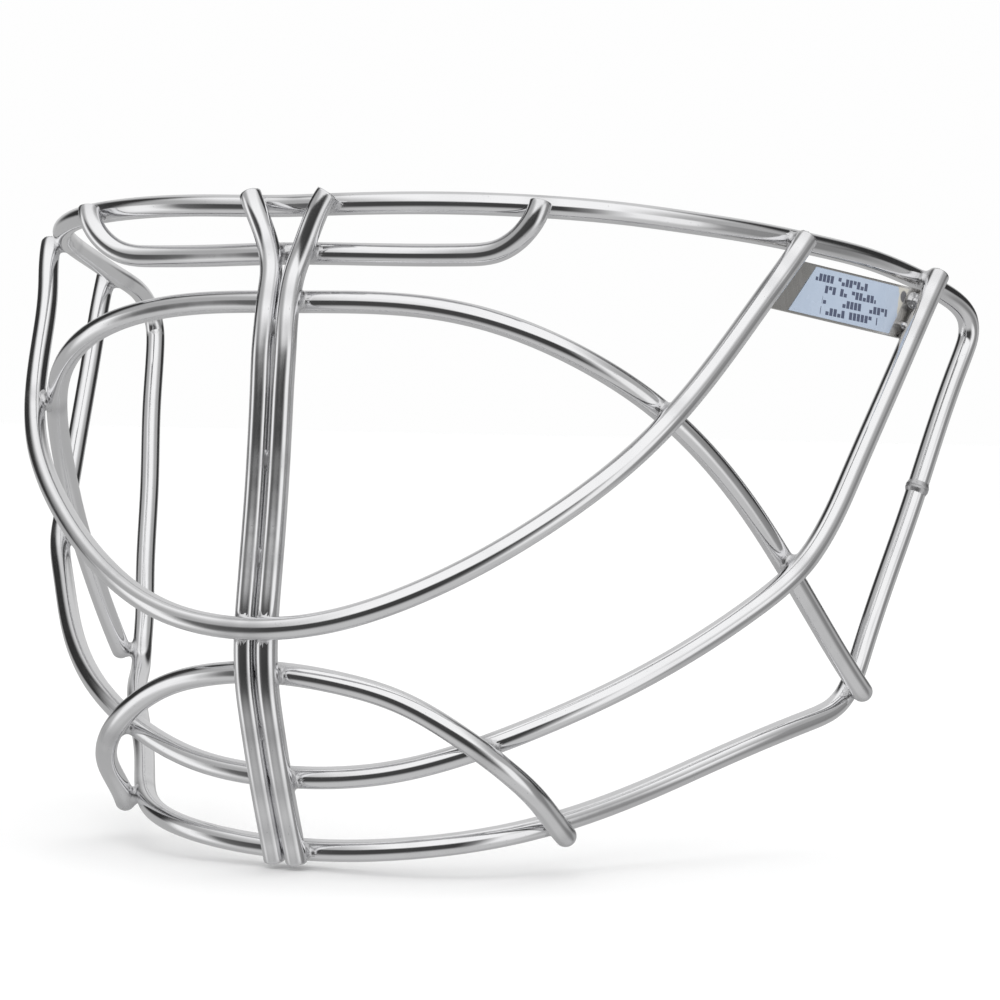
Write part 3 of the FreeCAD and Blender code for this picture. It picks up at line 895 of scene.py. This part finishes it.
@dataclass
class Panel:
    """A thin flat piece copied from its CAD node, with its edges eased and a UV map."""

    name: str
    node: str
    slot: str
    ease: float
    axes: np.ndarray = field(init=False)
    middle: np.ndarray = field(init=False)
    half: np.ndarray = field(init=False)

    flat_angle = math.radians(2)
    edge_angle = math.radians(40)
    shade_angle = math.radians(35)
    ease_rounds = 3

    def __post_init__(self) -> None:
        """Finds the panel's own axes: its length, its height and its thickness."""
        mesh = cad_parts[self.node].data
        skin = np.array([tuple(vertex.co) for vertex in mesh.vertices])
        self.middle = (skin.min(axis=0) + skin.max(axis=0)) / 2
        _, _, axes = np.linalg.svd(skin - skin.mean(axis=0), full_matrices=False)
        axes[0] *= math.copysign(1, axes[0][1])
        axes[1] *= math.copysign(1, axes[1][2])
        axes[2] = np.cross(axes[0], axes[1])
        self.axes = axes
        local = (skin - self.middle) @ axes.T
        self.middle = self.middle + (local.min(axis=0) + local.max(axis=0)) / 2 @ axes
        self.half = (local.max(axis=0) - local.min(axis=0)) / 2

    def distance(self, points: np.ndarray) -> np.ndarray:
        """Returns how far points lie outside the panel, negative inside it."""
        local = np.abs((points - self.middle) @ self.axes.T) - self.half
        return np.linalg.norm(np.maximum(local, 0), axis=1) + np.minimum(local.max(axis=1), 0)

    def build(self, surface: bpy.types.Material) -> None:
        """Draws the panel and puts it on the cage."""
        shell = bmesh.new()
        shell.from_mesh(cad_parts[self.node].data)
        bmesh.ops.remove_doubles(shell, verts=shell.verts, dist=SAME_PLACE)
        bmesh.ops.dissolve_limit(shell, angle_limit=self.flat_angle, verts=shell.verts,
                                 edges=shell.edges)
        sharp = [edge for edge in shell.edges
                 if len(edge.link_faces) == 2 and edge.calc_face_angle() > self.edge_angle]
        bmesh.ops.bevel(shell, geom=sharp, offset=self.ease, segments=self.ease_rounds, profile=0.5,
                        affect="EDGES", clamp_overlap=True)
        bmesh.ops.triangulate(shell, faces=[face for face in shell.faces if len(face.verts) > 4])
        bmesh.ops.recalc_face_normals(shell, faces=shell.faces)
        film = shell.loops.layers.uv.new("film")
        for face in shell.faces:
            for corner in face.loops:
                local = self.axes @ (np.array(corner.vert.co) - self.middle)
                corner[film].uv = ((local[0] / self.half[0] + 1) / 2, (local[1] / self.half[1] + 1) / 2)
        mesh = finished_mesh(self.name, shell, surface)
        mesh.set_sharp_from_angle(angle=self.shade_angle)
        place_piece(new_object(self.name, mesh), self.slot, self.node)


@dataclass
class PlateWelds(WeldGroup):
    """The small spots that hold the label plate to the two loops."""

    panel: Panel | None = None
    bead: float = 0.9 * MM

    reach_share = 0.8

    def find_spots(self, wires: list[BentWire]) -> None:
        """Finds the middle of each spot."""
        for group in islands(self.node):
            self.spots.append((group.min(axis=0) + group.max(axis=0)) / 2)

    def neighbours(self, middle: np.ndarray, wires: list[BentWire]) -> list[Stretch]:
        """Returns the stretch of the nearest wire."""
        nearest = min(wires, key=lambda wire: wire.nearest(middle)[0])
        return [nearest.stretch(middle, self.reach + self.margin)]

    def depth(self, points: np.ndarray, middle: np.ndarray, wires: list[Stretch]) -> np.ndarray:
        """Returns how far points lie outside the spot that joins the nearest wire to the plate."""
        away = np.linalg.norm(points - middle, axis=1)
        joined, _ = blended(wires[0].outside(points), self.panel.distance(points), self.blend)
        spot = np.maximum(np.minimum(joined, away - self.bead), away - self.reach_share * self.reach)
        return spot + self.skin_depth


# ---------------------------------------------------------------- the cage


@dataclass
class WireCage:
    """The whole cage: wires, welds, plate and film."""

    wires: list[BentWire] = field(default_factory=list)
    welds: list[WeldGroup] = field(default_factory=list)

    def build(self) -> None:
        """Builds every piece in order."""
        chrome = MetalFinish("bright_plated_wire", (0.86, 0.86, 0.87), (0.42, 0.42, 0.43),
                             roughness=0.085, haze=0.07, bump_mm=0.016, guide="wire_frame").material()
        weld = MetalFinish("plated_weld_metal", (0.70, 0.70, 0.71), (0.26, 0.26, 0.27),
                           roughness=0.28, haze=0.12, bump_mm=0.014, wave_scale=300.0,
                           line_scale=900.0).material()
        steel = MetalFinish("brushed_plate_steel", (0.66, 0.65, 0.63), (0.30, 0.29, 0.28),
                            roughness=0.26, haze=0.22, bump_mm=0.020, brushed=True).material()
        film = FilmFinish("printed_film", (0.40, 0.48, 0.60), (0.030, 0.040, 0.095),
                          (0.56, 0.54, 0.48)).material()
        self.wires = [BentWire(name, node, ends) for name, node, ends in (
            ("frame_wire", "perimeter_frame", EndStyle.RING),
            ("visor_wire", "visor_bar", EndStyle.GROUND),
            ("upper_eye_wire", "upper_eye_arch", EndStyle.DOMED),
            ("lower_eye_wire", "lower_eye_loop", EndStyle.GROUND),
            ("outer_wire", "outer_loop", EndStyle.GROUND),
            ("chin_wire", "chin_arch", EndStyle.DOMED),
            ("centre_wire_left", "centre_bar_left", EndStyle.GROUND),
            ("centre_wire_right", "centre_bar_right", EndStyle.GROUND))]
        plate = Panel("label_plate_sheet", "label_plate", "plate_steel", ease=0.18 * MM)
        places = ("top_bar", "side_bars", "chin_bar", "visor_bar", "upper_arch", "eye_loop",
                  "outer_loop", "chin_arch")
        self.welds = [WeldGroup("fillets_" + place, "welds_" + place) for place in places]
        self.welds.append(WeldGroup("fillets_centre_pair", "welds_centre_pair", reach=2.9 * MM,
                                    blend=1.0 * MM))
        self.welds.append(PlateWelds("spots_label_plate", "welds_label_plate", reach=2.6 * MM,
                                     blend=1.0 * MM, panel=plate))
        for group in self.welds:
            group.find_spots(self.wires)
        spots = np.array([spot for group in self.welds for spot in group.spots])
        sweep = WireSweep()
        for wire in self.wires:
            wire.build(sweep, spots, chrome)
        for group in self.welds:
            group.build(self.wires, weld)
        ButtWeld("frame_butt_weld", "butt_weld_bead").build(sweep, self.wires[0], weld)
        plate.build(steel)
        Panel("label_film_sheet", "label", "label_film", ease=0.03 * MM).build(film)


# ---------------------------------------------------------------- studio


@dataclass
class Studio:
    """Pale floor, soft light, what the bright metal mirrors, and the camera."""

    eye: Vector = field(default_factory=lambda: Vector((0.32413, -0.59079, -0.03866)))
    ahead: Vector = field(default_factory=lambda: Vector((-0.4231, 0.9054, -0.0349)))
    upward: Vector = field(default_factory=lambda: Vector((-0.0289, 0.0250, 0.9993)))
    lens_mm: float = 113.28
    sensor_mm: float = 36.0
    sight: tuple[float, float] = (0.02, 60.0)
    floor_half: float = 6.0
    floor_gap: float = 0.1 * MM
    floor_tones: tuple[float, float] = (0.955, 0.935)
    lamps: tuple[tuple[str, tuple[float, float, float], float, float], ...] = (
        ("overhead", (0.1, -0.2, 1.5), 2.4, 4.0), ("front", (0.9, -1.5, 0.9), 1.6, 3.0))
    aim: tuple[float, float, float] = (0.0, 0.03, -0.07)
    ceiling_tones: tuple[float, float] = (0.86, 0.36)
    table_tone: float = 0.48
    far_low_tone: float = 0.38
    far_high_tones: tuple[float, float] = (0.55, 0.025)
    mirrored_strength: float = 1.2
    plain_strength: float = 1.06
    backdrop_tone: float = 0.99
    screens: tuple[tuple[float, float], ...] = (
        (0.00, 0.06), (0.16, 0.10), (0.20, 0.84), (0.27, 0.84), (0.31, 0.12), (0.36, 0.05),
        (0.53, 0.04), (0.56, 0.20), (0.60, 0.80), (0.66, 0.80), (0.69, 0.26), (0.76, 0.20),
        (0.80, 0.10), (0.88, 0.06))

    def camera(self) -> None:
        """Creates the camera and makes it the scene's own."""
        data = bpy.data.cameras.new("camera")
        data.lens = self.lens_mm
        data.sensor_width = self.sensor_mm
        data.clip_start, data.clip_end = self.sight
        camera = new_object("camera", data)
        back = -self.ahead.normalized()
        right = self.upward.cross(back).normalized()
        up = back.cross(right)
        turn = Matrix((right, up, back)).transposed().to_4x4()
        camera.matrix_world = Matrix.Translation(self.eye) @ turn
        bpy.context.scene.camera = camera

    def floor(self) -> None:
        """Lays the floor under the cage's lowest wire."""
        level = CAD_BOX[0].z - self.floor_gap
        size = self.floor_half
        mesh = bpy.data.meshes.new("floor")
        mesh.from_pydata([(-size, -size, level), (size, -size, level), (size, size, level),
                          (-size, size, level)], [], [(0, 1, 2, 3)])
        finish, sheet, shader = new_finish("floor_paper")
        place = sheet.add("ShaderNodeTexCoord").outputs["Object"]
        light, dark = (grey(tone) for tone in self.floor_tones)
        paper = sheet.mixed(sheet.times(sheet.noise(place, 700.0, 2.0), 0.3), light, dark)
        sheet.feed(shader, {"Base Color": paper, "Roughness": 0.95, "Specular IOR Level": 0.0})
        mesh.materials.append(finish)
        floor = new_object("floor", mesh)
        floor.visible_glossy = False

    def lights(self) -> None:
        """Hangs two large soft lights, which bright metal doesn't mirror."""
        for name, place, size, power in self.lamps:
            data = bpy.data.lights.new(name, "AREA")
            data.size = size
            data.energy = power
            light = new_object(name, data)
            light.location = place
            way = Vector(self.aim) - Vector(place)
            light.rotation_euler = way.to_track_quat("-Z", "Y").to_euler()
            light.visible_glossy = False
            light.visible_camera = False

    def surroundings(self) -> None:
        """Sets what lies all round the cage.

        Bright metal mirrors pale screens at eye level, a white ceiling, a grey table and a dark
        far corner.  Anything else is lit by plain white.
        """
        world = bpy.data.worlds.new("studio")
        bpy.context.scene.world = world
        world.use_nodes = True
        world.node_tree.nodes.clear()
        sheet = NodeSheet(world.node_tree)
        way = sheet.add("ShaderNodeTexCoord").outputs["Generated"]
        heading = math.atan2(-self.ahead.y, -self.ahead.x)
        turned = sheet.add("ShaderNodeMapping", {"Vector": way, "Rotation": (0, 0, -heading)}).outputs[0]
        split = sheet.add("ShaderNodeSeparateXYZ", {0: turned})
        toward, rise = split.outputs[0], split.outputs[2]
        aside = sheet.math("ABSOLUTE", split.outputs[1])
        round_way = sheet.add("ShaderNodeTexGradient", {0: turned}, gradient_type="RADIAL").outputs[1]
        shell = sheet.ramp(round_way, self.screens)
        ceiling = sheet.mixed(sheet.fade(aside, 0.45, 0.85), *map(grey, self.ceiling_tones))
        shell = sheet.mixed(sheet.fade(rise, 0.12, 0.30), shell, ceiling)
        below = sheet.fade(sheet.times(rise, -1.0), 0.40, 0.78)
        shell = sheet.mixed(below, shell, grey(self.table_tone))
        far_high = sheet.mixed(sheet.fade(aside, 0.30, 0.60), *map(grey, self.far_high_tones))
        far = sheet.mixed(sheet.fade(rise, -0.05, 0.14), grey(self.far_low_tone), far_high)
        behind = sheet.fade(sheet.times(toward, -1.0), 0.04, 0.34)
        shell = sheet.mixed(behind, shell, far)
        mirrored, plain, seen = (
            sheet.add("ShaderNodeBackground", {"Color": colour, "Strength": strength}).outputs[0]
            for colour, strength in ((shell, self.mirrored_strength), (grey(1.0), self.plain_strength),
                                     (grey(self.backdrop_tone), 1.0)))
        ray = sheet.add("ShaderNodeLightPath")
        first = sheet.add("ShaderNodeMixShader", {0: ray.outputs["Is Glossy Ray"], 1: plain, 2: mirrored})
        both = sheet.add("ShaderNodeMixShader", {0: ray.outputs["Is Camera Ray"],
                                                 1: first.outputs[0], 2: seen})
        sheet.add("ShaderNodeOutputWorld", {0: both.outputs[0]})

    def build(self) -> None:
        """Sets up the whole studio."""
        bpy.context.scene.view_settings.view_transform = "Standard"
        self.camera()
        self.floor()
        self.lights()
        self.surroundings()


def main() -> None:
    """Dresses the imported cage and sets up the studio."""
    logging.basicConfig(level=logging.INFO, format="%(message)s")
    build_plating_group()
    build_handling_group()
    Studio().build()
    WireCage().build()


if __name__ == "__main__":
    main()
